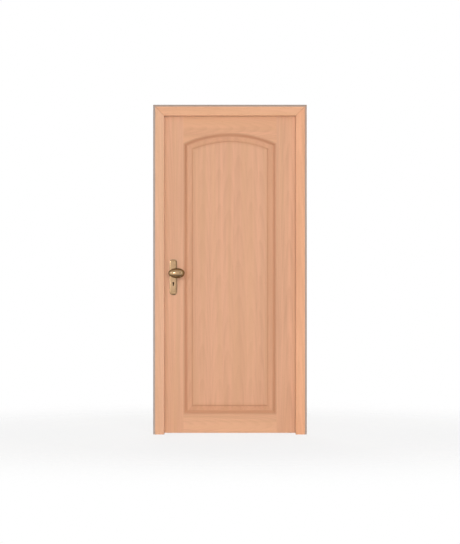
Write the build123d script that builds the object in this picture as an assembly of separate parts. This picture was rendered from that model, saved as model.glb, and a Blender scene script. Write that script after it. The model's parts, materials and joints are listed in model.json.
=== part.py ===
"""Exterior door: a rebated timber leaf with one arched raised panel, hung in a mitred block frame.

Lengths are millimetres. The model is drawn about the middle of the doorway at floor level, with the
outside of the door facing -Y, and then moved so that the origin lies on the outer face of the hinge jamb.
"""

import os
from math import asin, degrees, sqrt

from build123d import *

# Frame
CLEAR_WIDTH = 811.0  # doorway between the jambs
CLEAR_HEIGHT = 1967.5  # floor to the underside of the head
FRAME_FACE = 69.0  # face width of jambs and head
FRAME_DEPTH = 56.0
FRAME_REBATE = 15.0  # how far the rebate is cut into the face width
OUTER_ROUND = 17.0  # front arris against the wall
INNER_ROUND = 5.0  # front arris round the doorway
BACK_ROUND = 3.0
MITRE_GROOVE = 1.2  # arris taken off each side of the mitre joint

# Leaf
LEAF_THICKNESS = 42.0
LIP_THICKNESS = 16.5  # rebated lip that covers the frame's back face
LIP_OVERLAP = 14.5
FLOOR_GAP = 7.0
EDGE_GAP = 5.0  # leaf edge to frame rebate
LIP_GAP = 5.0  # leaf lip to the frame's back face
STOP_GAP = 6.0  # leaf face to the frame's stop, where the seal lies
LIP_ROUND = 3.0
STILE_WIDTH = 127.5
BOTTOM_RAIL = 115.0
TOP_RAIL = 112.0  # at the crown of the arch
ARCH_RISE = 65.0

# Panel and its mouldings
MOULDING_WIDTH = 26.0
MOULDING_DEPTH = 15.0
QUIRK_WIDTH = 2.5
QUIRK_DEPTH = 2.0
MOULDING_FOOT = 1.0  # thickness of the moulding's thin edge on the panel
PANEL_PLAY = 2.0  # room for the panel to swell
FIELD_DEPTH = 2.0  # raised field below the leaf's face
BEVEL_WIDTH = 20.0
BEVEL_TOP_DEPTH = 9.0
SHOULDER_WIDTH = 15.0

# Seals
SEAL_KERF_WIDTH = 3.0
SEAL_KERF_DEPTH = 7.0
SEAL_SET_OUT = 6.5  # middle of the kerf from the doorway edge
SEAL_BULB_WIDTH = 8.0
SEAL_PLAY = 1.0  # seal to the shut leaf

# Lock and furniture
BACKSET = 65.0
SPINDLE_HEIGHT = 1007.0
KEY_SPACING = 72.0  # spindle to keyhole
PLATE_WIDTH = 46.0
PLATE_HEIGHT = 219.0
PLATE_ABOVE_SPINDLE = 73.0
PLATE_THICKNESS = 8.0
PLATE_CORNER = 18.0
PLATE_BEVEL_WIDTH = 8.0
PLATE_BEVEL_DEPTH = 2.5
KEYHOLE_DIAMETER = 12.0
KEYHOLE_SLOT = 7.0
KEYHOLE_DROP = 17.0  # keyhole centre to the foot of its slot
KEY_WEB = 3.0  # ward plate across the middle of the lock
CASE_THICKNESS = 15.0
CASE_DEPTH = 97.0
CASE_ABOVE_SPINDLE = 45.0
CASE_HEIGHT = 165.0
FOREND_WIDTH = 20.0
FOREND_HEIGHT = 235.0
FOREND_ABOVE_SPINDLE = 80.0
FOREND_THICKNESS = 3.0
FOREND_CORNER = 9.0
BOLT_THICKNESS = 10.0
BOLT_HEIGHT = 30.0
BOLT_LENGTH = 42.0
LATCH_BELOW_SPINDLE = 0.0  # middle of the latch
DEADBOLT_BELOW_SPINDLE = 55.0  # middle of the deadbolt
LATCH_BEVEL = 9.0
STRIKE_WIDTH = 22.0
STRIKE_HEIGHT = 235.0
STRIKE_THICKNESS = 3.0
STRIKE_CORNER = 9.0
STRIKE_EDGE = 6.0  # strike plate from the back of the stop
STRIKE_PLAY = 1.0  # round each bolt
POCKET_DEPTH = 25.0

# Knob
KNOB_HEIGHT = 996.0
KNOB_RADIUS = 31.0
KNOB_SHORT_END = 44.0  # widest girth to the blunt end
KNOB_LONG_END = 57.0  # widest girth to the slender end
KNOB_OFFSET = 27.5  # neck to the widest girth
KNOB_STANDOFF = 18.0  # plate to the back of the knob
NECK_RADIUS = 10.0
COLLAR_RADIUS = 14.0
COLLAR_HEIGHT = 5.0

# Lever
LEVER_REACH = 50.0  # plate to the grip's centreline
LEVER_LENGTH = 122.0
LEVER_RADIUS = 9.0
LEVER_BEND = 20.0
LEVER_THICKNESS = 14.0
LEVER_TIP_ROUND = 5.0

# Hinges
TOP_HINGE_DROP = 250.0  # leaf's top to the top hinge
MIDDLE_HINGE_DROP = 350.0  # top hinge to the middle hinge
BOTTOM_HINGE_RISE = 300.0  # leaf's bottom to the bottom hinge
KNUCKLE_RADIUS = 8.0
KNUCKLE_HEIGHT = 50.0
KNUCKLE_CAP = 3.0
HINGE_STANDOFF = 10.5  # leaf lip to the hinge axis
PIN_RADIUS = 4.0
PIN_LENGTH = 36.0
PIN_PLAY = 0.1
THRUST_GAP = 0.2
PEG_RADIUS = 3.5
PEG_LENGTH = 40.0  # inside the timber
PEG_SPACING = 20.0
PEG_PLAY = 0.1

# Frame fixings
FIXING_RISE = 200.0  # floor to the lowest screw
FIXING_DROP = 186.5  # frame's top to the highest screw
FIXING_COUNT = 4
FIXING_RADIUS = 5.25
FIXING_HEAD_RADIUS = 9.0
FIXING_HEAD_DEPTH = 6.0

# Places worked out from the sizes above
HALF_CLEAR = CLEAR_WIDTH / 2
FRAME_WIDTH = CLEAR_WIDTH + 2 * FRAME_FACE
FRAME_HEIGHT = CLEAR_HEIGHT + FRAME_FACE
FRAME_FRONT = -FRAME_DEPTH / 2
FRAME_BACK = FRAME_DEPTH / 2
HALF_REBATE = HALF_CLEAR + FRAME_REBATE

LIP_FRONT = FRAME_BACK + LIP_GAP
LEAF_BACK = LIP_FRONT + LIP_THICKNESS
LEAF_FRONT = LEAF_BACK - LEAF_THICKNESS
LEAF_MIDDLE = (LEAF_FRONT + LEAF_BACK) / 2
STOP_BACK = LEAF_FRONT - STOP_GAP
HALF_BODY = HALF_REBATE - EDGE_GAP
HALF_LEAF = HALF_BODY + LIP_OVERLAP
BODY_TOP = CLEAR_HEIGHT + FRAME_REBATE - EDGE_GAP
LEAF_TOP = BODY_TOP + LIP_OVERLAP

HALF_OPENING = HALF_BODY - STILE_WIDTH
OPENING_BOTTOM = FLOOR_GAP + BOTTOM_RAIL
ARCH_TOP = BODY_TOP - TOP_RAIL
ARCH_RADIUS = (HALF_OPENING**2 + ARCH_RISE**2) / (2 * ARCH_RISE)
ARCH_CENTRE = ARCH_TOP - ARCH_RADIUS
ARCH_HALF_ANGLE = degrees(asin(HALF_OPENING / ARCH_RADIUS))

SPINDLE_X = BACKSET - HALF_BODY
KEY_HEIGHT = SPINDLE_HEIGHT - KEY_SPACING
BOLT_Y = (LEAF_FRONT + LIP_FRONT) / 2
HINGE_X = HALF_LEAF + HINGE_STANDOFF
HINGE_Y = (LIP_FRONT + LEAF_BACK) / 2
FIXING_Y = (STOP_BACK + FRAME_BACK) / 2
FIXING_STEP = (FRAME_HEIGHT - FIXING_DROP - FIXING_RISE) / (FIXING_COUNT - 1)

TOP_HINGE = LEAF_TOP - TOP_HINGE_DROP
HINGE_HEIGHTS = {
    "top": TOP_HINGE,
    "middle": TOP_HINGE - MIDDLE_HINGE_DROP,
    "bottom": FLOOR_GAP + BOTTOM_HINGE_RISE,
}

MARGIN = 5.0  # how far cutting shapes run past what they cut


def standing(face, front, back):
    """A face drawn in X and Z, made solid from depth front to depth back."""
    plane = Plane(origin=(0, back, 0), x_dir=(1, 0, 0), z_dir=(0, -1, 0))
    return extrude(plane * face, back - front)


def block(low, high):
    """A box between two corners."""
    size = [high[i] - low[i] for i in range(3)]
    middle = [(high[i] + low[i]) / 2 for i in range(3)]
    return Pos(*middle) * Box(*size)


def rod(start, direction, length, radius):
    """A round bar from a point along a direction."""
    return Plane(origin=start, z_dir=direction) * Cylinder(
        radius, length, align=(Align.CENTER, Align.CENTER, Align.MIN)
    )


def rounded(face, corners, radius):
    """The face with its vertices nearest to these points rounded."""
    chosen = [face.vertices().sort_by_distance((*corner, 0))[0] for corner in corners]
    return fillet(chosen, radius)


def swap_sides(shape):
    """The shape mirrored to the other side of the doorway."""
    return mirror(shape, about=Plane.YZ)


def swap_faces(shape):
    """The shape mirrored to the other face of the leaf."""
    return mirror(shape, about=Plane(origin=(0, LEAF_MIDDLE, 0), z_dir=(0, 1, 0)))


# Frame


def frame_section():
    """Section of jambs and head: x is outwards from the doorway edge, y is depth."""
    face = make_face(
        Polyline(
            (0, FRAME_FRONT),
            (FRAME_FACE, FRAME_FRONT),
            (FRAME_FACE, FRAME_BACK),
            (FRAME_REBATE, FRAME_BACK),
            (FRAME_REBATE, STOP_BACK),
            (0, STOP_BACK),
            close=True,
        )
    )
    face = rounded(face, [(FRAME_FACE, FRAME_FRONT)], OUTER_ROUND)
    face = rounded(face, [(0, FRAME_FRONT)], INNER_ROUND)
    face = rounded(face, [(FRAME_FACE, FRAME_BACK), (FRAME_REBATE, FRAME_BACK)], BACK_ROUND)
    kerf = Pos(SEAL_SET_OUT, STOP_BACK) * Rectangle(
        SEAL_KERF_WIDTH, SEAL_KERF_DEPTH, align=(Align.CENTER, Align.MAX)
    )
    return face - kerf


def seal_section():
    """Section of the seal: a stem in the kerf and a hollow-backed bulb towards the leaf."""
    reach = STOP_GAP - SEAL_PLAY
    half = SEAL_BULB_WIDTH / 2
    stem = Pos(SEAL_SET_OUT, STOP_BACK) * Rectangle(
        SEAL_KERF_WIDTH, SEAL_KERF_DEPTH, align=(Align.CENTER, Align.MAX)
    )
    bulb = make_face(
        [
            Line((SEAL_SET_OUT - half, STOP_BACK), (SEAL_SET_OUT + half, STOP_BACK)),
            ThreePointArc(
                (SEAL_SET_OUT + half, STOP_BACK),
                (SEAL_SET_OUT, STOP_BACK + reach),
                (SEAL_SET_OUT - half, STOP_BACK),
            ),
        ]
    )
    return stem + bulb


def portal(section):
    """Hinge-side upright, lock-side upright and head of one section, mitred at the top corners."""
    reach = 2 * FRAME_FACE
    wedge = standing(
        make_face(
            Polyline(
                (-HALF_CLEAR - reach, CLEAR_HEIGHT + reach),
                (-HALF_CLEAR, CLEAR_HEIGHT),
                (HALF_CLEAR, CLEAR_HEIGHT),
                (HALF_CLEAR + reach, CLEAR_HEIGHT + reach),
                close=True,
            )
        ),
        -FRAME_DEPTH,
        FRAME_DEPTH,
    )
    upright = extrude(Pos(HALF_CLEAR, 0, 0) * section, FRAME_HEIGHT) - wedge
    head_plane = Plane(origin=(FRAME_WIDTH / 2, 0, CLEAR_HEIGHT), x_dir=(0, 0, 1), z_dir=(-1, 0, 0))
    head = extrude(head_plane * section, FRAME_WIDTH) & wedge
    return upright, swap_sides(upright), head


def mitre_groove():
    """Shallow groove along the front of the mitre joint at the hinge side."""
    groove = make_face(
        Polyline((-MITRE_GROOVE, 0), (MITRE_GROOVE, 0), (0, MITRE_GROOVE), close=True)
    )
    corner = Plane(origin=(HALF_CLEAR, FRAME_FRONT, CLEAR_HEIGHT), x_dir=(1, 0, -1), z_dir=(1, 0, 1))
    return extrude(corner * groove, 2 * FRAME_FACE)


def fixing_holes():
    """Counterbored holes for the frame screws, through the hinge jamb from rebate to wall."""
    holes = Part()
    for number in range(FIXING_COUNT):
        start = (HALF_REBATE - MARGIN, FIXING_Y, FIXING_RISE + number * FIXING_STEP)
        holes += rod(start, (1, 0, 0), FRAME_FACE + MARGIN, FIXING_RADIUS)
        holes += rod(start, (1, 0, 0), FIXING_HEAD_DEPTH + MARGIN, FIXING_HEAD_RADIUS)
    return holes


def bolt_heights():
    """Middle heights of the latch and the deadbolt."""
    return SPINDLE_HEIGHT - LATCH_BELOW_SPINDLE, SPINDLE_HEIGHT - DEADBOLT_BELOW_SPINDLE


def strike_openings(depth):
    """The two bolt openings, from the lock jamb's rebate into the jamb."""
    half_y = BOLT_THICKNESS / 2 + STRIKE_PLAY
    half_z = BOLT_HEIGHT / 2 + STRIKE_PLAY
    openings = Part()
    for height in bolt_heights():
        openings += block(
            (-HALF_REBATE - depth, BOLT_Y - half_y, height - half_z),
            (-HALF_REBATE, BOLT_Y + half_y, height + half_z),
        )
    return openings


def edge_plate(face_x, y, top, width, height, corner, thickness):
    """A round-cornered plate against an edge of the lock side, from face_x towards +X."""
    middle = Plane(origin=(face_x, y, top - height / 2), x_dir=(0, 1, 0), z_dir=(1, 0, 0))
    return extrude(middle * RectangleRounded(width, height, corner), thickness)


def strike_blank():
    """Strike plate before its openings, let in flush with the rebate."""
    return edge_plate(
        -HALF_REBATE - STRIKE_THICKNESS,
        STOP_BACK + STRIKE_EDGE + STRIKE_WIDTH / 2,
        SPINDLE_HEIGHT + FOREND_ABOVE_SPINDLE,
        STRIKE_WIDTH,
        STRIKE_HEIGHT,
        STRIKE_CORNER,
        STRIKE_THICKNESS,
    )


# Leaf


def leaf_section():
    """Plan section of the hinge stile, with its rebated lip."""
    face = make_face(
        Polyline(
            (HALF_OPENING, LEAF_FRONT),
            (HALF_BODY, LEAF_FRONT),
            (HALF_BODY, LIP_FRONT),
            (HALF_LEAF, LIP_FRONT),
            (HALF_LEAF, LEAF_BACK),
            (HALF_OPENING, LEAF_BACK),
            close=True,
        )
    )
    return rounded(face, [(HALF_LEAF, LEAF_BACK)], LIP_ROUND)


def top_rebate():
    """What the rebate takes off the leaf's top edge."""
    return block(
        (-HALF_LEAF - MARGIN, LEAF_FRONT - MARGIN, BODY_TOP),
        (HALF_LEAF + MARGIN, LIP_FRONT, LEAF_TOP + MARGIN),
    )


def top_arris():
    """What the rounding takes off the inner arris of the leaf's top edge."""
    start = (-HALF_LEAF - MARGIN, LEAF_BACK - LIP_ROUND, LEAF_TOP - LIP_ROUND)
    corner = block(start, (HALF_LEAF + MARGIN, LEAF_BACK + MARGIN, LEAF_TOP + MARGIN))
    return corner - rod(start, (1, 0, 0), 2 * (HALF_LEAF + MARGIN), LIP_ROUND)


def plain_stile():
    """The hinge stile before its hinge holes are drilled."""
    stile = Pos(0, 0, FLOOR_GAP) * extrude(leaf_section(), LEAF_TOP - FLOOR_GAP)
    return stile - top_rebate() - top_arris()


def spring_height(inset):
    """Where the arch meets the upright side, on the opening's outline moved in by inset."""
    return ARCH_CENTRE + sqrt((ARCH_RADIUS - inset) ** 2 - (HALF_OPENING - inset) ** 2)


def arched_face(inset):
    """The panel opening's outline moved in by inset, drawn in X and Z."""
    half = HALF_OPENING - inset
    low = OPENING_BOTTOM + inset
    spring = spring_height(inset)
    return make_face(
        [
            Line((-half, spring), (-half, low)),
            Line((-half, low), (half, low)),
            Line((half, low), (half, spring)),
            ThreePointArc((half, spring), (0, ARCH_TOP - inset), (-half, spring)),
        ]
    )


def top_rail():
    """Rail between the stiles, with its lower edge cut to the arch."""
    blank = block(
        (-HALF_OPENING, LEAF_FRONT, spring_height(0) - MARGIN),
        (HALF_OPENING, LEAF_BACK, LEAF_TOP),
    )
    blank -= standing(arched_face(0), LEAF_FRONT - MARGIN, LEAF_BACK + MARGIN)
    return blank - top_rebate() - top_arris()


def bottom_rail():
    """Plain rail between the stiles."""
    return block(
        (-HALF_OPENING, LEAF_FRONT, FLOOR_GAP),
        (HALF_OPENING, LEAF_BACK, OPENING_BOTTOM),
    )


def ogee(start, end):
    """Two arcs, level at both ends, from one level to another."""
    middle = ((start[0] + end[0]) / 2, (start[1] + end[1]) / 2)
    return [
        TangentArc(start, middle, tangent=(end[0] - start[0], 0)),
        TangentArc(end, middle, tangent=(start[0] - end[0], 0)),
    ]


def moulding_section():
    """Section of a panel moulding: x is inwards from the opening's edge, y is below the leaf's face."""
    foot = MOULDING_DEPTH - MOULDING_FOOT
    return make_face(
        [
            Polyline((QUIRK_WIDTH, QUIRK_DEPTH), (QUIRK_WIDTH, 0), (0, 0), (0, MOULDING_DEPTH)),
            Polyline((0, MOULDING_DEPTH), (MOULDING_WIDTH, MOULDING_DEPTH), (MOULDING_WIDTH, foot)),
            *ogee((QUIRK_WIDTH, QUIRK_DEPTH), (MOULDING_WIDTH, foot)),
        ]
    )


def fielding_section():
    """Section of what is cut away round the raised field, in the same directions as a moulding."""
    bevel_end = MOULDING_WIDTH + BEVEL_WIDTH
    field = bevel_end + SHOULDER_WIDTH
    return make_face(
        [
            Polyline((field, FIELD_DEPTH), (field, -MARGIN), (-MARGIN, -MARGIN), (-MARGIN, MOULDING_DEPTH)),
            Polyline((-MARGIN, MOULDING_DEPTH), (MOULDING_WIDTH, MOULDING_DEPTH)),
            Line((MOULDING_WIDTH, MOULDING_DEPTH), (bevel_end, BEVEL_TOP_DEPTH)),
            *ogee((bevel_end, BEVEL_TOP_DEPTH), (field, FIELD_DEPTH)),
        ]
    )


def along_sides(section):
    """The section run down the right side, along the bottom and round the arch of the opening."""
    side_plane = Plane(origin=(HALF_OPENING, LEAF_FRONT, ARCH_TOP), x_dir=(-1, 0, 0), z_dir=(0, 0, -1))
    side = extrude(side_plane * section, ARCH_TOP - OPENING_BOTTOM)
    sill_plane = Plane(
        origin=(HALF_OPENING, LEAF_FRONT, OPENING_BOTTOM), x_dir=(0, 0, 1), z_dir=(-1, 0, 0)
    )
    sill = extrude(sill_plane * section, 2 * HALF_OPENING)
    crown_plane = Plane(origin=(0, LEAF_FRONT, ARCH_TOP), x_dir=(0, 0, -1), z_dir=(1, 0, 0))
    axis = Axis((0, 0, ARCH_CENTRE), (0, 1, 0))
    half_turn = ARCH_HALF_ANGLE + MARGIN
    start = (crown_plane * section).rotate(axis, -half_turn)
    return side, sill, revolve(start, axis, 2 * half_turn)


def outer_mouldings():
    """Right, bottom and arched mouldings on the outside of the leaf, mitred where they meet."""
    side, sill, arch = along_sides(moulding_section())
    inset = MOULDING_WIDTH
    spring = spring_height(0)
    fall = (spring - spring_height(inset)) / inset
    low = OPENING_BOTTOM
    out = HALF_OPENING + MARGIN
    inner = HALF_OPENING - inset - MARGIN
    spring_out = (out, spring + fall * MARGIN)
    spring_in = (inner, spring - fall * (inset + MARGIN))
    foot_out = (out, low - MARGIN)
    foot_in = (inner, low + inset + MARGIN)

    def across(point):
        return (-point[0], point[1])

    crown = ARCH_TOP + MARGIN
    outlines = [
        (foot_out, spring_out, spring_in, foot_in),
        (foot_out, foot_in, across(foot_in), across(foot_out)),
        (spring_out, (out, crown), (-out, crown), across(spring_out), across(spring_in), spring_in),
    ]
    near = LEAF_FRONT - MARGIN
    far = LEAF_FRONT + MOULDING_DEPTH + MARGIN
    prisms = [standing(make_face(Polyline(*points, close=True)), near, far) for points in outlines]
    return [piece & prism for piece, prism in zip((side, sill, arch), prisms)]


def raised_panel():
    """Panel with a fielded face on both sides, held by its edge between the mouldings."""
    panel = standing(arched_face(PANEL_PLAY), LEAF_FRONT + FIELD_DEPTH, LEAF_BACK - FIELD_DEPTH)
    side, sill, arch = along_sides(fielding_section())
    for cutter in (side, swap_sides(side), sill, arch):
        panel = panel - cutter - swap_faces(cutter)
    return panel


# Lock and furniture


def keyhole(play=0.0):
    """Keyhole outline in X and Z, widened all round by play."""
    round_part = Circle(KEYHOLE_DIAMETER / 2 + play)
    slot = Rectangle(KEYHOLE_SLOT + 2 * play, KEYHOLE_DROP + play, align=(Align.CENTER, Align.MAX))
    return Pos(SPINDLE_X, KEY_HEIGHT) * (round_part + slot)


def lock_case():
    """Mortice lock case behind the forend, before it is cut for the key and the bolts."""
    edge = FOREND_THICKNESS - HALF_BODY
    top = SPINDLE_HEIGHT + CASE_ABOVE_SPINDLE
    return block(
        (edge, BOLT_Y - CASE_THICKNESS / 2, top - CASE_HEIGHT),
        (edge + CASE_DEPTH, BOLT_Y + CASE_THICKNESS / 2, top),
    )


def forend_blank():
    """Forend plate before its openings, flush with the leaf's edge."""
    return edge_plate(
        -HALF_BODY,
        BOLT_Y,
        SPINDLE_HEIGHT + FOREND_ABOVE_SPINDLE,
        FOREND_WIDTH,
        FOREND_HEIGHT,
        FOREND_CORNER,
        FOREND_THICKNESS,
    )


def drawn_bolt(height):
    """A bolt drawn back until its nose is flush with the forend."""
    return block(
        (-HALF_BODY, BOLT_Y - BOLT_THICKNESS / 2, height - BOLT_HEIGHT / 2),
        (BOLT_LENGTH - HALF_BODY, BOLT_Y + BOLT_THICKNESS / 2, height + BOLT_HEIGHT / 2),
    )


def latch_bolt(height):
    """Latch with the bevelled nose that rides over the strike plate."""
    corner = Plane(origin=(-HALF_BODY, BOLT_Y + BOLT_THICKNESS / 2, height))
    bevel = corner * make_face(
        Polyline((0, 0), (LATCH_BEVEL, 0), (0, -LATCH_BEVEL), close=True)
    )
    return drawn_bolt(height) - extrude(bevel, BOLT_HEIGHT, both=True)


def backplate():
    """Long plate on the outside of the lock stile, bevelled all round and cut for the key."""
    middle = SPINDLE_HEIGHT + PLATE_ABOVE_SPINDLE - PLATE_HEIGHT / 2
    outline = Pos(SPINDLE_X, middle) * RectangleRounded(PLATE_WIDTH, PLATE_HEIGHT, PLATE_CORNER)
    plate = standing(outline, LEAF_FRONT - PLATE_THICKNESS, LEAF_FRONT)
    front_face = plate.faces().sort_by(Axis.Y)[0]
    plate = chamfer(front_face.edges(), PLATE_BEVEL_WIDTH, PLATE_BEVEL_DEPTH, reference=front_face)
    return plate - standing(keyhole(), LEAF_FRONT - 2 * PLATE_THICKNESS, LEAF_FRONT + MARGIN)


def door_knob():
    """Fixed egg-shaped knob on a short neck, set over from the neck towards the middle of the leaf."""
    plate_front = LEAF_FRONT - PLATE_THICKNESS
    axis_y = plate_front - KNOB_STANDOFF - KNOB_RADIUS
    long_half = EllipticalCenterArc((0, 0), KNOB_LONG_END, KNOB_RADIUS, start_angle=90, arc_size=90)
    short_half = EllipticalCenterArc((0, 0), KNOB_SHORT_END, KNOB_RADIUS, start_angle=0, arc_size=90)
    base = Line((-KNOB_LONG_END, 0), (KNOB_SHORT_END, 0))
    egg = revolve(make_face([long_half, short_half, base]), Axis.X)
    egg = Pos(SPINDLE_X + KNOB_OFFSET, axis_y, KNOB_HEIGHT) * egg
    foot = (SPINDLE_X, plate_front, KNOB_HEIGHT)
    collar = rod(foot, (0, -1, 0), COLLAR_HEIGHT, COLLAR_RADIUS)
    collar = fillet(collar.edges().sort_by(Axis.Y)[0], COLLAR_HEIGHT / 2)
    neck = rod(foot, (0, -1, 0), KNOB_STANDOFF + KNOB_RADIUS, NECK_RADIUS)
    return egg + neck + collar


def lever_handle():
    """Lever on the inside: a neck out from the plate and a grip towards the hinges."""
    foot = (SPINDLE_X, LEAF_BACK + PLATE_THICKNESS, SPINDLE_HEIGHT)
    turn = (SPINDLE_X, foot[1] + LEVER_REACH, SPINDLE_HEIGHT)
    tip = (SPINDLE_X + LEVER_LENGTH, turn[1], SPINDLE_HEIGHT)
    path = FilletPolyline(foot, turn, tip, radius=LEVER_BEND)
    section = Plane(origin=foot, x_dir=(1, 0, 0), z_dir=(0, 1, 0)) * Ellipse(
        LEVER_THICKNESS / 2, LEVER_RADIUS
    )
    bar = sweep(section, path)
    bar = fillet(bar.faces().sort_by(Axis.X)[-1].edges(), LEVER_TIP_ROUND)
    collar = rod(foot, (0, 1, 0), COLLAR_HEIGHT, COLLAR_RADIUS)
    collar = fillet(collar.edges().sort_by(Axis.Y)[-1], COLLAR_HEIGHT / 2)
    return bar + collar


# Hinges


def peg_heights(height, side):
    """The two peg heights of the upper (side 1) or lower (side -1) half of a hinge."""
    middle = height + side * KNUCKLE_HEIGHT / 2
    return middle - PEG_SPACING / 2, middle + PEG_SPACING / 2


def leaf_pegs(height, play=0.0):
    """Pegs from the upper knuckle into the edge of the leaf."""
    pegs = Part()
    for z in peg_heights(height, 1):
        pegs += rod((HINGE_X, HINGE_Y, z), (-1, 0, 0), HINGE_STANDOFF + PEG_LENGTH + play, PEG_RADIUS + play)
    return pegs


def frame_pegs(height, play=0.0):
    """Pegs from the lower knuckle into the back of the hinge jamb."""
    reach = HINGE_Y - FRAME_BACK + PEG_LENGTH
    pegs = Part()
    for z in peg_heights(height, -1):
        pegs += rod((HINGE_X, HINGE_Y, z), (0, -1, 0), reach + play, PEG_RADIUS + play)
    return pegs


def hinge_leaf_half(height):
    """Upper knuckle, bored for the pin, with its pegs."""
    base = (HINGE_X, HINGE_Y, height + THRUST_GAP)
    knuckle = rod(base, (0, 0, 1), KNUCKLE_HEIGHT, KNUCKLE_RADIUS)
    knuckle = fillet(knuckle.edges().sort_by(Axis.Z)[-1], KNUCKLE_CAP)
    bore = rod((HINGE_X, HINGE_Y, height), (0, 0, 1), PIN_LENGTH + PIN_PLAY, PIN_RADIUS + PIN_PLAY)
    return knuckle + leaf_pegs(height) - bore


def hinge_frame_half(height):
    """Lower knuckle with its pegs and the pin that carries the leaf."""
    knuckle = rod((HINGE_X, HINGE_Y, height), (0, 0, -1), KNUCKLE_HEIGHT, KNUCKLE_RADIUS)
    knuckle = fillet(knuckle.edges().sort_by(Axis.Z)[0], KNUCKLE_CAP)
    pin = rod((HINGE_X, HINGE_Y, height), (0, 0, 1), PIN_LENGTH, PIN_RADIUS)
    return knuckle + frame_pegs(height) + pin


def build():
    """Every piece by name, drawn about the middle of the doorway."""
    pieces = {}

    hinge_jamb, lock_jamb, head = portal(frame_section())
    hinge_jamb -= mitre_groove()
    lock_jamb -= swap_sides(mitre_groove())
    head = head - mitre_groove() - swap_sides(mitre_groove())
    hinge_jamb -= fixing_holes()
    lock_jamb -= swap_sides(fixing_holes())
    lock_jamb = lock_jamb - strike_blank() - strike_openings(STRIKE_THICKNESS + POCKET_DEPTH)
    hinge_seal, lock_seal, head_seal = portal(seal_section())
    hinge_stile = plain_stile()
    for name, height in HINGE_HEIGHTS.items():
        hinge_jamb -= frame_pegs(height, PEG_PLAY)
        hinge_stile -= leaf_pegs(height, PEG_PLAY)
        pieces[f"{name}_hinge_frame_half"] = hinge_frame_half(height)
        pieces[f"{name}_hinge_leaf_half"] = hinge_leaf_half(height)
    pieces["hinge_jamb"] = hinge_jamb
    pieces["lock_jamb"] = lock_jamb
    pieces["frame_head"] = head
    pieces["hinge_side_seal"] = hinge_seal
    pieces["lock_side_seal"] = lock_seal
    pieces["head_seal"] = head_seal
    pieces["strike_plate"] = strike_blank() - strike_openings(STRIKE_THICKNESS)

    key_way = standing(keyhole(), LEAF_FRONT - MARGIN, LEAF_BACK + MARGIN)
    ward = standing(keyhole(), BOLT_Y - KEY_WEB / 2, BOLT_Y + KEY_WEB / 2)
    latch_height, deadbolt_height = bolt_heights()
    bolts = drawn_bolt(latch_height) + drawn_bolt(deadbolt_height)
    pieces["hinge_stile"] = hinge_stile
    pieces["lock_stile"] = swap_sides(plain_stile()) - lock_case() - forend_blank() - key_way
    pieces["top_rail"] = top_rail()
    pieces["bottom_rail"] = bottom_rail()
    pieces["raised_panel"] = raised_panel()
    side, sill, arch = outer_mouldings()
    mouldings = {"right": side, "left": swap_sides(side), "bottom": sill, "arched": arch}
    for name, moulding in mouldings.items():
        pieces[f"outer_{name}_moulding"] = moulding
        pieces[f"inner_{name}_moulding"] = swap_faces(moulding)

    pieces["lock_case"] = lock_case() - bolts - (key_way - ward)
    pieces["lock_forend"] = forend_blank() - bolts
    pieces["latch_bolt"] = latch_bolt(latch_height)
    pieces["dead_bolt"] = drawn_bolt(deadbolt_height)
    pieces["outer_backplate"] = backplate()
    pieces["inner_backplate"] = swap_faces(backplate())
    pieces["door_knob"] = door_knob()
    pieces["lever_handle"] = lever_handle()
    return pieces


def main():
    os.makedirs("parts", exist_ok=True)
    to_hinge_jamb = Pos(-FRAME_WIDTH / 2, 0, 0)
    for name, shape in build().items():
        export_step(to_hinge_jamb * shape, f"parts/{name}.step")


main()
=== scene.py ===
import json
from math import cos, pi, radians, sin
from typing import NamedTuple

import bmesh
import bpy
from mathutils import Matrix, Vector


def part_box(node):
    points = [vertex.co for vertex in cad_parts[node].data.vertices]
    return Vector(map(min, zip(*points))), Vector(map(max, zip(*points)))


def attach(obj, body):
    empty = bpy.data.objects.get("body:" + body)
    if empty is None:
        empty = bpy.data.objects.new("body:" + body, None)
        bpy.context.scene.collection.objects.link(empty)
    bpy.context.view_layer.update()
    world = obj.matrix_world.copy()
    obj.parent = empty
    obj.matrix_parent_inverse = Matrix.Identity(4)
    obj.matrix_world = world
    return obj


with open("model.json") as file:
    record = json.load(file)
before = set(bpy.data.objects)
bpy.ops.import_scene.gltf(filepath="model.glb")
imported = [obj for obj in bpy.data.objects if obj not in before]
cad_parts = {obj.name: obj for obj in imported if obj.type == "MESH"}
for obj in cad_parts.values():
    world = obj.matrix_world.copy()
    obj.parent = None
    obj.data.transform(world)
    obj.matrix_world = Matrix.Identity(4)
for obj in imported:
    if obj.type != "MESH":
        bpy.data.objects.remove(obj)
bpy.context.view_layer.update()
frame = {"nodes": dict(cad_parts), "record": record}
nodes = frame["nodes"]
record = frame["record"]
scene = bpy.context.scene

# Lengths are metres, in the frame of the CAD model: +Y points indoors

HEAD_LOW, HEAD_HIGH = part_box("frame_head")
CENTRE_X = (HEAD_LOW.x + HEAD_HIGH.x) / 2
HALF_CLEAR = CENTRE_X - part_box("lock_jamb")[1].x
CLEAR_HEIGHT = HEAD_LOW.z
FRAME_FRONT = HEAD_LOW.y
EYE_HEIGHT = 1.003  # of the camera, above the floor
MM_PER_M = 1000

# Colours

WHITE = (1, 1, 1, 1)
BLACK = (0, 0, 0, 1)


def linear(red, green, blue):
    """An sRGB colour of 0 to 255 as linear values."""

    def one(value):
        value = value / 255
        return value / 12.92 if value <= 0.04045 else ((value + 0.055) / 1.055) ** 2.4

    return one(red), one(green), one(blue)


def tinted(colour, factors=(1, 1, 1)):
    """The colour with its red, green and blue each times a factor, and its alpha."""
    return [min(1.0, part * factor) for part, factor in zip(colour, factors)] + [1.0]


# Shader nodes

NOISE_RANGE = (0.3, 0.7)  # where nearly all of a noise's values lie
NEUTRAL = 0.5  # the middle of every noise and tone


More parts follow.
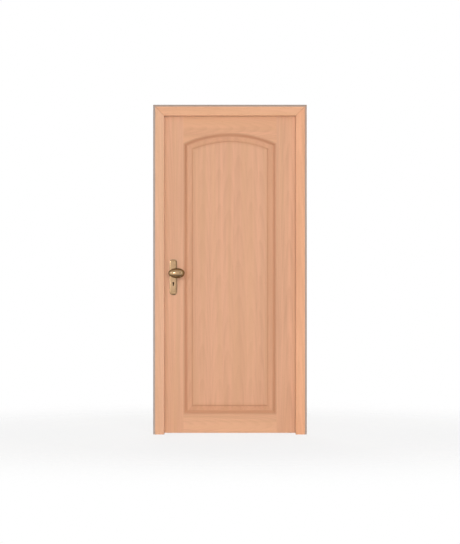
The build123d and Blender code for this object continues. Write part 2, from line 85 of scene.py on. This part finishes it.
class Tree:
    """Short ways to add and join shader nodes."""

    def __init__(self, tree):
        self.tree = tree

    def add(self, kind, **values):
        node = self.tree.nodes.new(kind)
        for key, value in values.items():
            setattr(node, key, value)
        return node

    def put(self, socket, value):
        if isinstance(value, bpy.types.NodeSocket):
            self.tree.links.new(value, socket)
        else:
            socket.default_value = value

    def math(self, operation, *values):
        node = self.add("ShaderNodeMath", operation=operation)
        for socket, value in zip(node.inputs, values):
            self.put(socket, value)
        return node.outputs[0]

    def length(self, first, second):
        """The length of a step that goes this far in each of two directions."""
        squares = self.math("POWER", first, 2.0), self.math("POWER", second, 2.0)
        return self.math("SQRT", self.math("ADD", *squares))

    def span(self, value, low, high, to_low=0.0, to_high=1.0):
        """The value eased from one range to another, and held at its ends."""
        node = self.add("ShaderNodeMapRange", interpolation_type="SMOOTHSTEP")
        for socket, number in zip(node.inputs, (value, low, high, to_low, to_high)):
            self.put(socket, number)
        return node.outputs[0]

    def place(self, output="Object"):
        """The x, y and z of a point, or of its normal, in the CAD frame."""
        parted = self.add("ShaderNodeSeparateXYZ")
        self.put(parted.inputs[0], self.add("ShaderNodeTexCoord").outputs[output])
        return parted.outputs

    def facing(self):
        """1 where a surface faces straight in or out, and 0 where it faces sideways, up or down."""
        return self.math("ABSOLUTE", self.place("Normal")[1])

    def noise(self, parts, scales, seed=0.0, detail=2.0, roughness=0.5):
        """Noise about the neutral tone, with its own scale along each of the three directions."""
        spot = self.add("ShaderNodeCombineXYZ")
        for socket, part, scale in zip(spot.inputs, parts, scales):
            self.put(socket, self.math("MULTIPLY_ADD", part, scale, seed))
        node = self.add("ShaderNodeTexNoise")
        self.put(node.inputs["Vector"], spot.outputs[0])
        node.inputs["Scale"].default_value = 1.0
        node.inputs["Detail"].default_value = detail
        node.inputs["Roughness"].default_value = roughness
        return node.outputs["Fac"]

    def mix(self, factor, first, second):
        node = self.add("ShaderNodeMix", data_type="RGBA")
        self.put(node.inputs["Factor"], factor)
        self.put(node.inputs["A"], first)
        self.put(node.inputs["B"], second)
        return node.outputs["Result"]

    def weighted(self, *pairs):
        """The neutral tone, plus each value's distance from it, times that value's weight."""
        total = NEUTRAL
        for value, weight in pairs:
            total = self.math("MULTIPLY_ADD", self.math("SUBTRACT", value, NEUTRAL), weight, total)
        return total


def new_material(name):
    material = bpy.data.materials.new(name)
    material.use_nodes = True
    return material, Tree(material.node_tree), material.node_tree.nodes["Principled BSDF"]


def dress(material, *names):
    for name in names:
        mesh = nodes[name].data
        mesh.materials.clear()
        mesh.materials.append(material)


# Timber


class Marks(NamedTuple):
    """A kind of mark in timber: how many there are in a metre each way, and how its noise is made."""

    across: float
    through: float
    along: float
    seed: float
    detail: float = 2.0
    roughness: float = 0.5


WANDER = Marks(9, 9, 1.6, seed=0)  # the waver of the growth rings
BROAD = Marks(14, 14, 0.9, seed=3)  # bands of light and dark
STREAK = Marks(52, 40, 1.3, seed=5, detail=3, roughness=0.6)
FIBRE = Marks(700, 700, 10, seed=7)
WARMTH = Marks(24, 24, 0.9, seed=9)  # yellower bands
FLECK = Marks(520, 520, 70, seed=11, detail=1)  # pores
DASH = Marks(110, 80, 8, seed=13)  # dark strokes along the grain

WANDER_REACH = 0.03
RING_SPACING = 0.0065
LATE_WOOD_RISE = (0.25, 0.9)  # shares of a ring
LATE_WOOD_FALL = (0.9, 1.0)
STAVE_WIDTH = 0.074

# How much each thing adds to the timber's tone
BROAD_WEIGHT = 0.42
STREAK_WEIGHT = 0.72
FIBRE_WEIGHT = 0.16
STAVE_WEIGHT = 0.16
RING_WEIGHT = -0.10
DASH_WEIGHT = -0.10

# The tones or noise values between which each look goes from none to full
TONE_RANGE = (0.2, 0.8)
WARM_RANGE = (0.4, 0.7)
FLECK_RANGE = (0.64, 0.72)
DASH_RANGE = (0.60, 0.75)
PATCH_RANGE = (0.3, 0.55)

# Factors on a timber's own red, green and blue
DARK_TINT = (0.91, 0.885, 0.86)
PALE_TINT = (1.09, 1.10, 1.10)
WARM_TINT = (0.985, 1.02, 0.93)
FLECK_TINT = (0.80, 0.70, 0.60)
# for the real stain in the mitre joints and for painted shade on slopes and along the shoulder
STAIN_AND_SHADE_TINT = (0.62, 0.50, 0.40)
# for the painted grey shade on the frame's rounded outer arris
ARRIS_SHADE_TINT = (0.60, 0.90, 1.28)

WARM_SHARE = 0.5  # the most that a yellower band takes of its tint
FLECK_SHARE = 0.4  # likewise, for a pore
SHADED_SLOPES = (0.87, 0.999)  # cosines of the slopes between which the painted shade thins out
PANEL_SLOPE_SHADE = 0.10  # share of painted shade on the panel's slopes
# share of painted shade on the mouldings' slopes
MOULDING_SLOPE_SHADE = 0.16
SHOULDER_SHADE = 0.16  # share of painted shade along the panel's shoulder
SHOULDER_REACH = 0.020  # how far it spreads to each side
SHOULDER_INSET = 0.059  # from the edge of the leaf's opening
MITRE_STAIN = 0.5  # share of stain in a mitre joint
MITRE_REACH = 0.004  # how far it spreads to each side
ARRIS_SHADE = 0.95  # share of painted grey shade on the frame's outer arris
ARRIS_SHADE_PLACES = (0.03, 0.05)  # from the doorway's edge, between none and full painted arris shade
SIDE_SLOPES = (0.1, 0.4)  # cosines of the slopes between the unshaded side and the painted shade on the arris
FACE_SLOPES = (0.90, 0.9995)  # and between the painted shade on the arris and the unshaded face
LEAST_PATCH = 0.7  # share of the painted arris shade that is left in its lighter patches

VARNISH_ROUGHNESS = (0.42, 0.54)
VARNISH_SPECULAR = 0.35
BUMP_STRENGTH = 0.25
BUMP_DISTANCE = 0.0004
PORE_DEPTH = 0.4  # as a share of the fibres' height


def glued_staves(t, across, heart):
    """A tone for each narrow board that a piece is glued up from, and the place of that board's heart."""
    heart_across, heart_depth, heart_slope = heart
    stave = t.math("FLOOR", t.math("DIVIDE", across, STAVE_WIDTH))
    pick = t.add("ShaderNodeTexWhiteNoise", noise_dimensions="1D")
    t.put(pick.inputs["W"], stave)
    tone = pick.outputs["Value"]
    heart_across = t.math("MULTIPLY_ADD", t.math("ADD", stave, tone), STAVE_WIDTH, heart_across)
    heart_depth = t.math("MULTIPLY_ADD", tone, STAVE_WIDTH, heart_depth)
    return tone, (heart_across, heart_depth, heart_slope)


def late_wood(t, axes, wander, heart):
    """1 where a growth ring round the heart is densest, and 0 where it begins."""
    across, through, along = axes
    heart_across, heart_depth, heart_slope = heart
    sideways = t.math("SUBTRACT", t.math("MULTIPLY_ADD", wander, WANDER_REACH, across), heart_across)
    depth = t.math("MULTIPLY_ADD", along, heart_slope, t.math("ADD", through, heart_depth))
    ring = t.math("FRACT", t.math("DIVIDE", t.length(sideways, depth), RING_SPACING))
    return t.math("SUBTRACT", t.span(ring, *LATE_WOOD_RISE), t.span(ring, *LATE_WOOD_FALL))


def inset(t, x, z):
    """How far a point lies inside the outline of the leaf's opening, whose top is an arch."""
    foot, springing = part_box("outer_left_moulding")
    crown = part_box("outer_arched_moulding")[1].z
    half = CENTRE_X - foot.x
    rise = crown - springing.z
    radius = (half**2 + rise**2) / (2 * rise)
    sideways = t.math("ABSOLUTE", t.math("SUBTRACT", x, CENTRE_X))
    upwards = t.math("MAXIMUM", t.math("SUBTRACT", z, crown - radius), 0.0)
    from_sides = t.math("SUBTRACT", half, sideways)
    from_foot = t.math("SUBTRACT", z, foot.z)
    from_arch = t.math("SUBTRACT", radius, t.length(sideways, upwards))
    return t.math("MINIMUM", from_sides, t.math("MINIMUM", from_foot, from_arch))


def painted_arris_shade(t, beside, above, streak):
    """The share of painted grey shade on the frame's rounded outer arris, which comes and goes along the
    grain.
    """
    outer = t.span(t.math("MAXIMUM", beside, above), *ARRIS_SHADE_PLACES)
    facing = t.facing()
    off_face = t.span(facing, *FACE_SLOPES, ARRIS_SHADE, 0.0)
    rounded = t.math("MULTIPLY", t.span(facing, *SIDE_SLOPES), off_face)
    patchy = t.math("MULTIPLY", outer, t.span(streak, *PATCH_RANGE, LEAST_PATCH, 1.0))
    return t.math("MULTIPLY", rounded, patchy)


def wood(
    name,
    colour,
    grain,
    seed,
    heart,
    figure=1.0,
    slope_shade=0.0,
    staved=False,
    fielded=False,
    mitred=False,
):
    """Varnished beech, cut from a log whose heart lies to one side of the piece and behind its face.

    grain is the axis that the fibres follow. heart is where the log's axis lies across the piece, how deep
    it lies and how much deeper it runs for each metre along. figure is how bold the streaks are, and
    slope_shade how much painted shade, in a darker tint, lies on the slopes and hollows of a moulded face.
    A staved piece is glued up from narrow boards, a fielded one has a raised field with a shoulder round it
    and painted shade along that shoulder, and a mitred one belongs to the frame, with painted grey shade on
    its rounded outer arris and a darker stain in its mitre joints.
    """
    material, t, shader = new_material(name)
    x, y, z = t.place()
    across, along = (x, z) if grain == "Z" else (z, x)
    axes = (across, y, along)

    def marks(kind):
        scales = (kind.across, kind.through, kind.along)
        return t.noise(axes, scales, seed + kind.seed, kind.detail, kind.roughness)

    stave_tone = NEUTRAL
    if staved:
        stave_tone, heart = glued_staves(t, across, heart)
    streak = marks(STREAK)
    fibre = marks(FIBRE)
    fleck = t.span(marks(FLECK), *FLECK_RANGE)
    tone = t.weighted(
        (marks(BROAD), BROAD_WEIGHT * figure),
        (streak, STREAK_WEIGHT * figure),
        (fibre, FIBRE_WEIGHT),
        (stave_tone, STAVE_WEIGHT),
        (late_wood(t, axes, marks(WANDER), heart), RING_WEIGHT * figure),
    )
    tone = t.math("MULTIPLY_ADD", t.span(marks(DASH), *DASH_RANGE), DASH_WEIGHT, tone)
    result = t.mix(t.span(tone, *TONE_RANGE), tinted(colour, DARK_TINT), tinted(colour, PALE_TINT))
    warmth = t.span(marks(WARMTH), *WARM_RANGE, 0.0, WARM_SHARE)
    result = t.mix(warmth, result, tinted(colour, WARM_TINT))
    result = t.mix(t.math("MULTIPLY", fleck, FLECK_SHARE), result, tinted(colour, FLECK_TINT))

    # one darker tint: real stain in the mitre joints, painted shade on slopes and along the shoulder
    stain_and_shade = tinted(colour, STAIN_AND_SHADE_TINT)
    # painted shade on the slopes and hollows of a moulded face, darker where they are steeper
    if slope_shade:
        result = t.mix(t.span(t.facing(), *SHADED_SLOPES, slope_shade, 0.0), result, stain_and_shade)
    if fielded:
        # a band of painted shade along the panel's shoulder
        off_shoulder = t.math("ABSOLUTE", t.math("SUBTRACT", inset(t, x, z), SHOULDER_INSET))
        result = t.mix(t.span(off_shoulder, 0.0, SHOULDER_REACH, SHOULDER_SHADE, 0.0), result, stain_and_shade)
    if mitred:
        beside = t.math("SUBTRACT", t.math("ABSOLUTE", t.math("SUBTRACT", x, CENTRE_X)), HALF_CLEAR)
        above = t.math("SUBTRACT", z, CLEAR_HEIGHT)
        # painted grey shade on the frame's rounded outer arris
        grey = tinted(colour, ARRIS_SHADE_TINT)
        result = t.mix(painted_arris_shade(t, beside, above, streak), result, grey)
        off_joint = t.math("ABSOLUTE", t.math("SUBTRACT", beside, above))
        result = t.mix(t.span(off_joint, 0.0, MITRE_REACH, MITRE_STAIN, 0.0), result, stain_and_shade)

    t.put(shader.inputs["Base Color"], result)
    t.put(shader.inputs["Roughness"], t.span(streak, *NOISE_RANGE, *VARNISH_ROUGHNESS))
    shader.inputs["Specular IOR Level"].default_value = VARNISH_SPECULAR
    bump = t.add("ShaderNodeBump")
    bump.inputs["Strength"].default_value = BUMP_STRENGTH
    bump.inputs["Distance"].default_value = BUMP_DISTANCE
    t.put(bump.inputs["Height"], t.math("MULTIPLY_ADD", fleck, -PORE_DEPTH, fibre))
    t.put(shader.inputs["Normal"], bump.outputs[0])
    return material


# Leaf and frame

LOCK_STILE_COLOUR = linear(222, 169, 136)
HINGE_STILE_COLOUR = linear(219, 166, 133)
PANEL_COLOUR = linear(221, 167, 134)
TOP_RAIL_COLOUR = linear(222, 167, 132)
BOTTOM_RAIL_COLOUR = linear(225, 173, 139)
# darker than the leaf, as painted shade for the moulded hollows
SHADED_MOULDING_COLOUR = linear(210, 155, 122)
LOCK_JAMB_COLOUR = linear(229, 177, 145)
HEAD_COLOUR = linear(232, 175, 139)
HINGE_JAMB_COLOUR = linear(237, 176, 138)
STILE = {"grain": "Z", "depth": 0.05, "slope": 0.022, "figure": 1.25}
RAIL = {"grain": "X", "aside": 0.01, "depth": 0.10, "slope": 0.08, "figure": 1.5}
JAMB = {"grain": "Z", "aside": 0.0, "slope": 0.02, "mitred": True}
HEAD = {"grain": "X", "aside": 0.0, "slope": 0.03, "mitred": True}
PANEL = {"grain": "Z", "slope_shade": PANEL_SLOPE_SHADE, "staved": True, "fielded": True}
PANEL_HEART = (0.0, 0.03, 0.03)
MOULDING_HEART = (0.3, 0.2, 0.01)


def board(node, colour, grain, seed, aside, depth, slope, **looks):
    """Dress a node as a board of its own, with the log's heart this far aside of its middle."""
    low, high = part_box(node)
    middle = (low + high) / 2
    across = middle.x if grain == "Z" else middle.z
    dress(wood(f"{node}_wood", colour, grain, seed, (across + aside, depth, slope), **looks), node)


board("hinge_stile", HINGE_STILE_COLOUR, seed=1.0, aside=0.02, **STILE)
board("lock_stile", LOCK_STILE_COLOUR, seed=21.0, aside=-0.03, **STILE)
board("top_rail", TOP_RAIL_COLOUR, seed=41.0, **RAIL)
board("bottom_rail", BOTTOM_RAIL_COLOUR, seed=61.0, **RAIL)
board("lock_jamb", LOCK_JAMB_COLOUR, seed=141.0, depth=0.08, **JAMB)
board("hinge_jamb", HINGE_JAMB_COLOUR, seed=161.0, depth=0.09, **JAMB)
board("frame_head", HEAD_COLOUR, seed=181.0, depth=0.09, **HEAD)
dress(wood("panel_wood", PANEL_COLOUR, seed=81.0, heart=PANEL_HEART, **PANEL), "raised_panel")
for name, grain, seed, sides in (
    ("moulding_wood", "Z", 101.0, ("left", "right")),
    ("cross_moulding_wood", "X", 121.0, ("bottom", "arched")),
):
    timber = wood(name, SHADED_MOULDING_COLOUR, grain, seed, MOULDING_HEART, slope_shade=MOULDING_SLOPE_SHADE)
    dress(timber, *[f"{face}_{side}_moulding" for face in ("outer", "inner") for side in sides])

# Metal

CLOUDS = (45, 45, 45)  # dull patches in a metre
CLOUD_DETAIL = 3
CLOUD_RANGE = (0.42, 0.72)
DULL_TINT = (0.88, 0.85, 0.78)
# a painted highlight round the keyhole
KEYHOLE_HIGHLIGHT_TINT = (1.10, 1.10, 1.14)
HIGHLIGHT_REACH = (0.012, 0.05)  # where the painted highlight starts to thin out, and where it ends
RIM_SHADE_SLOPES = (0.45, 0.92)  # cosines of the slopes between the painted dark reflection and the plain metal
HANDLING_MARKS = (420, 420, 420)  # in a metre
BRUSH_MARKS = (1500, 1500, 40)
ROUGHNESS_SPREAD = (0.8, 1.3)


def metal(name, colour, roughness, rim_shade=(1, 1, 1), highlight_spot=None, marks=HANDLING_MARKS):
    """Polished or brushed metal with faint fine marks, and a painted dark reflection where it faces neither
    in nor out.

    highlight_spot is a spot, in x and z, round which a painted highlight makes the metal brighter.
    """
    material, t, shader = new_material(name)
    place = t.place()
    cloud = t.noise(place, CLOUDS, detail=CLOUD_DETAIL)
    face_tone = t.mix(t.span(cloud, *CLOUD_RANGE), tinted(colour), tinted(colour, DULL_TINT))
    # a painted highlight round this spot
    if highlight_spot:
        sideways = t.math("SUBTRACT", place[0], highlight_spot[0])
        upwards = t.math("SUBTRACT", place[2], highlight_spot[1])
        away = t.length(sideways, upwards)
        face_tone = t.mix(t.span(away, *HIGHLIGHT_REACH), tinted(colour, KEYHOLE_HIGHLIGHT_TINT), face_tone)
    # painted dark reflection where the metal faces sideways
    faces_forward = t.span(t.facing(), *RIM_SHADE_SLOPES)
    t.put(shader.inputs["Base Color"], t.mix(faces_forward, tinted(colour, rim_shade), face_tone))
    shader.inputs["Metallic"].default_value = 1.0
    smoothest, roughest = (roughness * share for share in ROUGHNESS_SPREAD)
    t.put(shader.inputs["Roughness"], t.span(t.noise(place, marks), *NOISE_RANGE, smoothest, roughest))
    return material


def opening_middle(name):
    """The middle of one of the record's openings, in x and z."""
    low, high = next(gap["box_m"] for gap in record["physics"]["openings"] if gap["name"] == name)
    return [(low[axis] + high[axis]) / 2 for axis in (0, 2)]


BRASS_COLOUR = (0.83, 0.55, 0.32)
# painted dark reflection on the brass where it faces sideways, as factors on its colour
BRASS_RIM_SHADE = (0.17, 0.22, 0.11)
BRASS_ROUGHNESS = 0.17
STEEL_COLOUR = (0.55, 0.54, 0.52)
STEEL_ROUGHNESS = 0.32
DARK_STEEL_COLOUR = (0.10, 0.055, 0.025)
DARK_STEEL_ROUGHNESS = 0.5

keyhole = opening_middle("outer_keyhole")
brass = metal("polished_brass", BRASS_COLOUR, BRASS_ROUGHNESS, BRASS_RIM_SHADE)
# the plates' brass, with a painted highlight round the keyhole
highlighted_brass = metal("highlighted_brass", BRASS_COLOUR, BRASS_ROUGHNESS, BRASS_RIM_SHADE, highlight_spot=keyhole)
steel = metal("brushed_steel", STEEL_COLOUR, STEEL_ROUGHNESS, marks=BRUSH_MARKS)
dark_steel = metal("dark_steel", DARK_STEEL_COLOUR, DARK_STEEL_ROUGHNESS)
dress(brass, "door_knob", "lever_handle")
dress(highlighted_brass, "outer_backplate", "inner_backplate")
for level in ("top", "middle", "bottom"):
    dress(brass, f"{level}_hinge_leaf_half", f"{level}_hinge_frame_half")
dress(steel, "strike_plate", "lock_forend", "latch_bolt", "dead_bolt")
dress(dark_steel, "lock_case")

# Rubber

RUBBER_COLOUR = (0.045, 0.025, 0.015)
RUBBER_DUST = (0.07, 0.04, 0.025)
DUST_SPECKS = (300, 300, 300)  # in a metre
RUBBER_ROUGHNESS = 0.6


def rubber(name):
    """Dark rubber with a fine dust on it."""
    material, t, shader = new_material(name)
    dusty = t.noise(t.place(), DUST_SPECKS)
    t.put(shader.inputs["Base Color"], t.mix(dusty, tinted(RUBBER_COLOUR), tinted(RUBBER_DUST)))
    shader.inputs["Roughness"].default_value = RUBBER_ROUGHNESS
    return material


dress(rubber("brown_rubber"), "hinge_side_seal", "lock_side_seal", "head_seal")

# Screws

HEAD_SIDES = 32
HEAD_DOME = ((1.0, 0.3), (0.92, 0.62), (0.7, 0.86), (0.35, 1.0))  # shares of its radius and its height
SEATING = 0.0004  # how far a head sinks into what it holds
CROSS_WIDTH = 0.26  # of the cross recess, as a share of the head's radius
CROSS_REACH = 0.62  # likewise, from the middle to the end of an arm
CROSS_DEPTH = 0.5  # as a share of the head's height
MERGED = 1e-6  # edges of a head shorter than this are closed up
FIRST_TURN = 0.4  # radians by which the first head of a piece is turned
NEXT_TURN = 1.0  # and how much further each next one is
SMOOTH_ANGLE = radians(40)


class Screw(NamedTuple):
    """The size of a screw's head."""

    radius: float
    height: float


PLATE_SCREW = Screw(radius=0.004, height=0.0014)
PLATE_MARGIN = 0.017  # from the plate's ends
LOCK_SCREW = Screw(radius=0.0042, height=0.0012)
LOCK_MARGIN = 0.012
ANCHOR = Screw(radius=0.008, height=0.0035)
ANCHOR_SEAT = 0.048  # the anchor heads' seats from the jamb's wall face


def sink_cross(head, half, reach, depth):
    """Cut a cross recess into the top of a head, with arms of this half width and reach."""
    for axis in (Vector((1, 0, 0)), Vector((0, 1, 0))):
        for offset in (-reach, -half, half, reach):
            everything = head.verts[:] + head.edges[:] + head.faces[:]
            bmesh.ops.bisect_plane(head, geom=everything, plane_co=axis * offset, plane_no=axis)

    def in_cross(face):
        centre = face.calc_center_median()
        narrow, wide = sorted((abs(centre.x), abs(centre.y)))
        return centre.z > 0 and narrow < half and wide < reach

    cross = [face for face in head.faces if in_cross(face)]
    sunk = bmesh.ops.extrude_face_region(head, geom=cross)
    for part in sunk["geom"]:
        if isinstance(part, bmesh.types.BMVert):
            part.co.z -= depth
    bmesh.ops.delete(head, geom=cross, context="FACES")


def screw_head(radius, height):
    """A domed head with a cross recess, standing along +Z from its seat."""
    head = bmesh.new()
    turns = [2 * pi * side / HEAD_SIDES for side in range(HEAD_SIDES)]
    rows = []
    for share, level in [(1.0, -SEATING)] + [(share, level * height) for share, level in HEAD_DOME]:
        reach = radius * share
        rows.append([head.verts.new((reach * cos(turn), reach * sin(turn), level)) for turn in turns])
    for low, high in zip(rows, rows[1:]):
        for side in range(HEAD_SIDES):
            after = (side + 1) % HEAD_SIDES
            head.faces.new((low[side], low[after], high[after], high[side]))
    head.faces.new(rows[-1])
    head.faces.new(reversed(rows[0]))
    sink_cross(head, radius * CROSS_WIDTH / 2, radius * CROSS_REACH, CROSS_DEPTH * height)
    bmesh.ops.dissolve_degenerate(head, edges=head.edges[:], dist=MERGED)
    bmesh.ops.recalc_face_normals(head, faces=head.faces[:])
    return head


def screws(name, body, material, spots, outward, screw):
    """Screw heads at these spots, facing outward, as one piece."""
    joined = bmesh.new()
    facing = Vector(outward).to_track_quat("Z", "Y").to_matrix().to_4x4()
    for number, spot in enumerate(spots):
        head = screw_head(screw.radius, screw.height)
        turned = Matrix.Rotation(FIRST_TURN + number * NEXT_TURN, 4, "Z")
        head.transform(Matrix.Translation(spot) @ facing @ turned)
        single = bpy.data.meshes.new("head")
        head.to_mesh(single)
        head.free()
        joined.from_mesh(single)
        bpy.data.meshes.remove(single)
    mesh = bpy.data.meshes.new(name)
    joined.to_mesh(mesh)
    joined.free()
    mesh.shade_smooth()
    mesh.set_sharp_from_angle(angle=SMOOTH_ANGLE)
    mesh.materials.append(material)
    piece = bpy.data.objects.new(name, mesh)
    scene.collection.objects.link(piece)
    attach(piece, body)


def plate_spots(name, margin, outward):
    """Two spots near the ends of an upright plate, on the face of it that faces outward."""
    low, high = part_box(name)
    axis = [abs(part) for part in outward].index(1)
    surface = high[axis] if outward[axis] > 0 else low[axis]
    spots = [(low + high) / 2, (low + high) / 2]
    spots[0].z = low.z + margin
    spots[1].z = high.z - margin
    for spot in spots:
        spot[axis] = surface
    return spots


def anchor_spots(side, inward):
    """The seats of a jamb's anchor heads, in the counterbores of its fixing holes."""
    spots = []
    for mount in record["mounts"]:
        if mount["name"].startswith(f"{side}_jamb_") and mount["name"].endswith("_fixings"):
            x, y, z = mount["pos_m"]
            half = mount["dims"]["spacing_y_mm"] / MM_PER_M / 2
            seat_x = x + inward * ANCHOR_SEAT
            spots += [Vector((seat_x, y, z - half)), Vector((seat_x, y, z + half))]
    return spots


for name, body, slot, material, plate, margin, outward, screw in (
    ("backplate_screws", "leaf", "brass", brass, "inner_backplate", PLATE_MARGIN, (0, 1, 0), PLATE_SCREW),
    ("forend_screws", "leaf", "steel", steel, "lock_forend", LOCK_MARGIN, (-1, 0, 0), LOCK_SCREW),
    ("strike_screws", "frame", "steel", steel, "strike_plate", LOCK_MARGIN, (1, 0, 0), LOCK_SCREW),
):
    screws(name, body, material, plate_spots(plate, margin, outward), outward, screw)
for side, inward in (("hinge", -1), ("lock", 1)):
    spots = anchor_spots(side, inward)
    screws(f"{side}_jamb_anchors", "frame", steel, spots, (inward, 0, 0), ANCHOR)

# Floor

FLOOR_REACH = 6.0
FLOOR_FADE = (1.2, 3.2)  # from the door's foot, where the floor starts to fade out and where it is gone
FLOOR_COLOUR = (0.85, 0.85, 0.85, 1)
FLOOR_ROUGHNESS = 0.9
FLOOR_GLOW = 0.80  # share of the floor's seen tone that is plain white


def ray_seen(t):
    """1 for rays from the camera, from glossy surfaces and through clear ones, and 0 for the rest."""
    path = t.add("ShaderNodeLightPath").outputs
    bright = t.math("MAXIMUM", path["Is Camera Ray"], path["Is Glossy Ray"])
    return t.math("MAXIMUM", bright, path["Is Transmission Ray"])


def sheet(name, corners, material, faces=((0, 1, 2, 3),)):
    """A piece of the studio made of flat four-cornered faces."""
    mesh = bpy.data.meshes.new(name)
    mesh.from_pydata(corners, [], faces)
    mesh.materials.append(material)
    item = bpy.data.objects.new(name, mesh)
    scene.collection.objects.link(item)
    return item


def floor_paint(name):
    """Pale matt paint that looks nearly white, still takes a soft shadow and fades out far from the door."""
    material, t, shader = new_material(name)
    shader.inputs["Base Color"].default_value = FLOOR_COLOUR
    shader.inputs["Roughness"].default_value = FLOOR_ROUGHNESS
    lit = t.add("ShaderNodeMixShader")
    t.put(lit.inputs[0], t.math("MULTIPLY", ray_seen(t), FLOOR_GLOW))
    t.put(lit.inputs[1], shader.outputs[0])
    t.put(lit.inputs[2], t.add("ShaderNodeEmission").outputs[0])
    away = t.add("ShaderNodeVectorMath", operation="DISTANCE")
    t.put(away.inputs[0], t.add("ShaderNodeTexCoord").outputs["Object"])
    away.inputs[1].default_value = (CENTRE_X, 0, 0)
    faded = t.add("ShaderNodeMixShader")
    t.put(faded.inputs[0], t.span(away.outputs["Value"], *FLOOR_FADE))
    t.put(faded.inputs[1], lit.outputs[0])
    t.put(faded.inputs[2], t.add("ShaderNodeBsdfTransparent").outputs[0])
    t.put(material.node_tree.nodes["Material Output"].inputs["Surface"], faded.outputs[0])
    return material


low, high = CENTRE_X - FLOOR_REACH, CENTRE_X + FLOOR_REACH
sheet("floor", [(low, low, 0), (high, low, 0), (high, high, 0), (low, high, 0)], floor_paint("pale_floor"))

# Light

AMBIENT = 0.28
SIDES = (("front", 0), ("back", 180))  # the azimuths from which the door's two faces are lit
LAMPS = (  # name, azimuth, elevation, distance, size, level, and whether metal mirrors it
    ("key", -28, 9, 6.5, (1.3, 1.3), 0.11, True),
    ("soft", 4, 8, 7.0, (3.0, 2.6), 0.44, False),
    ("high", 10, 38, 6.5, (2.0, 1.2), 0.10, False),
    ("low", 4, -5, 6.5, (2.4, 0.6), 0.045, False),
)

world = bpy.data.worlds.new("studio")
scene.world = world
world.use_nodes = True
sky = Tree(world.node_tree)
background = world.node_tree.nodes["Background"]
background.inputs["Color"].default_value = WHITE
sky.put(background.inputs["Strength"], sky.span(ray_seen(sky), 0, 1, AMBIENT, 1.0))


def lamp(name, azimuth, elevation, distance, size, level, mirrored):
    """A soft lamp that lights a white surface facing it, at the door's middle, to the given level."""
    middle = Vector((CENTRE_X, 0, EYE_HEIGHT))
    flat = cos(radians(elevation))
    turn = radians(azimuth)
    towards = Vector((sin(turn) * flat, -cos(turn) * flat, sin(radians(elevation))))
    light = bpy.data.lights.new(name, "AREA")
    light.shape = "RECTANGLE"
    light.size, light.size_y = size
    light.energy = level * (pi * distance) ** 2
    item = bpy.data.objects.new(name, light)
    item.location = middle + distance * towards
    item.rotation_euler = (-towards).to_track_quat("-Z", "Y").to_euler()
    item.visible_glossy = mirrored
    scene.collection.objects.link(item)


for side, turn in SIDES:
    for name, azimuth, *rest in LAMPS:
        lamp(f"{side}_{name}", turn + azimuth, *rest)

# Cards that only shiny surfaces mirror

CARD_COLOUR = (1, 0.97, 0.92, 1)
CARD_STEP = 10  # degrees
CARD_RADIUS = 9.0
CARD_HEIGHT = 5.5
CARD_LIFT = 0.06  # the lowest cards lie just above the floor
FOOT = (CARD_RADIUS, CARD_LIFT)  # the rims of cards are circles, each of a radius and a height
EAVES = (CARD_RADIUS, CARD_HEIGHT)
ROOF_EDGE = (2.0, CARD_HEIGHT)
ROOF_TOP = (0.3, CARD_HEIGHT)
FAR_GROUND = (1.3, CARD_LIFT)
NEAR_GROUND = (0.4, CARD_LIFT)
DOOR_GROUND = (0.1, CARD_LIFT)
CARDS = (  # name, brightness, first and last azimuth, and the two rims
    ("grey", 0.65, -40, 20, FOOT, EAVES),
    ("narrow", 0.28, 20, 40, FOOT, EAVES),
    ("pale", 0.90, 40, 60, FOOT, EAVES),
    ("dark", 0.25, 60, 90, FOOT, EAVES),
    ("roof", 0.50, -90, 90, ROOF_EDGE, EAVES),
    ("dark_roof", 0.25, -90, 90, ROOF_TOP, ROOF_EDGE),
    ("ground", 0.52, -90, 90, FAR_GROUND, FOOT),
    ("near", 0.22, -90, 90, NEAR_GROUND, FAR_GROUND),
    ("dark_ground", 0.06, -90, 90, DOOR_GROUND, NEAR_GROUND),
)


def card(name, level, start, end, rim, other_rim):
    """A bent card round the door, between two azimuths and two rims."""
    paint, _, shader = new_material(f"{name}_paint")
    shader.inputs["Base Color"].default_value = BLACK
    shader.inputs["Specular IOR Level"].default_value = 0.0
    shader.inputs["Emission Color"].default_value = CARD_COLOUR
    shader.inputs["Emission Strength"].default_value = level
    turns = [radians(turn) for turn in range(start, end + 1, CARD_STEP)]
    corners = []
    for turn in turns:
        for radius, height in (rim, other_rim):
            corners.append((CENTRE_X + radius * sin(turn), -radius * cos(turn), height))
    faces = [(2 * n, 2 * n + 2, 2 * n + 3, 2 * n + 1) for n in range(len(turns) - 1)]
    item = sheet(name, corners, paint, faces)
    item.visible_camera = False
    item.visible_diffuse = False
    item.visible_transmission = False
    item.visible_shadow = False


for side, turn in SIDES:
    for name, level, start, end, rim, other_rim in CARDS:
        card(f"{side}_{name}_card", level, turn + start, turn + end, rim, other_rim)

# Camera

PHOTO_HEIGHT = 544  # pixels
PIXEL = 0.006172  # metres on the frame's face
DISTANCE = 12.0
CLIP_END = 200

# The picture is taller than it is wide, so its height fills the sensor's width
camera_data = bpy.data.cameras.new("camera")
camera_data.lens = camera_data.sensor_width * DISTANCE / (PHOTO_HEIGHT * PIXEL)
camera_data.clip_end = CLIP_END
camera = bpy.data.objects.new("camera", camera_data)
camera.location = (CENTRE_X, FRAME_FRONT - DISTANCE, EYE_HEIGHT)
camera.rotation_euler = (radians(90), 0, 0)
scene.collection.objects.link(camera)
scene.camera = camera

scene.view_settings.view_transform = "Standard"
